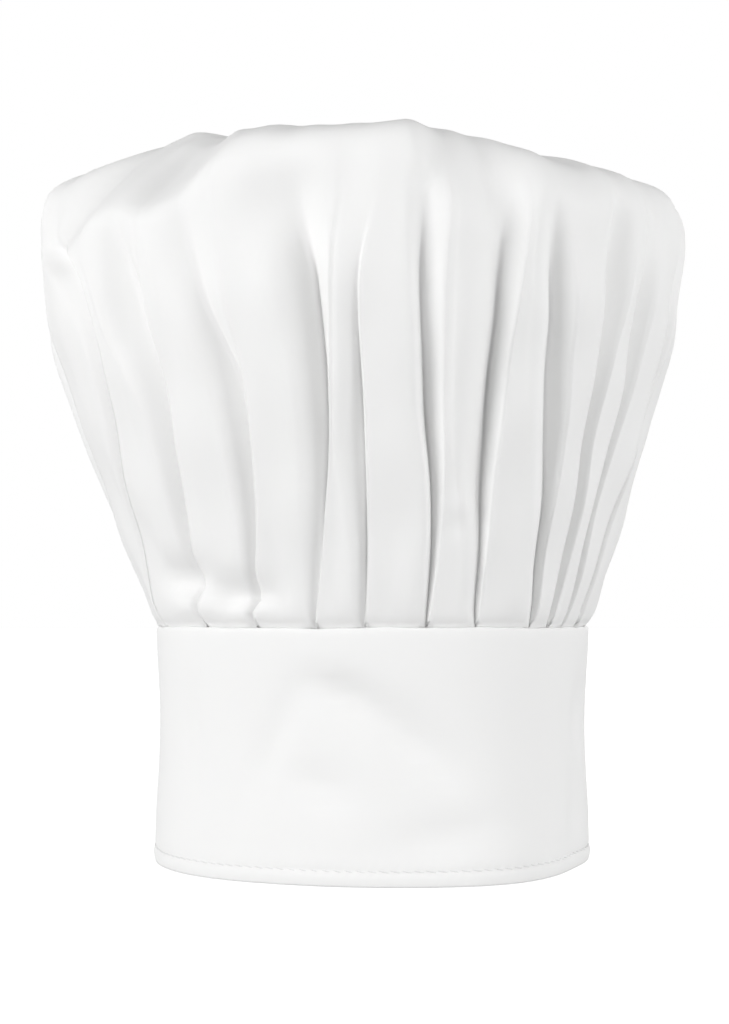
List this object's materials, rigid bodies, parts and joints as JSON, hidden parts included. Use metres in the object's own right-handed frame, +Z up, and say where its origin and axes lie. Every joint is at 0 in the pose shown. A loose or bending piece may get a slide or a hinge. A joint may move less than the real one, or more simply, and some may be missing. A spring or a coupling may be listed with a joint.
{
  "type": "chef hat",
  "caption": "Tall cotton hat with a pleated, puffed crown gathered into a plain upright band with a stitched hem.",
  "frame": {"origin": "centre of the hat's bounding box, on the plane that the hem rests on", "axes": "+Z up through the crown, -Y towards the front, the way the wearer looks, +X towards the wearer's left"},
  "size_m": [0.2826, 0.2846, 0.3084],
  "materials": {
    "cotton": "matt plain-woven white cotton"
  },
  "bodies": {
    "root": {"crown": "cotton", "band": "cotton"}
  },
  "joints": []
}
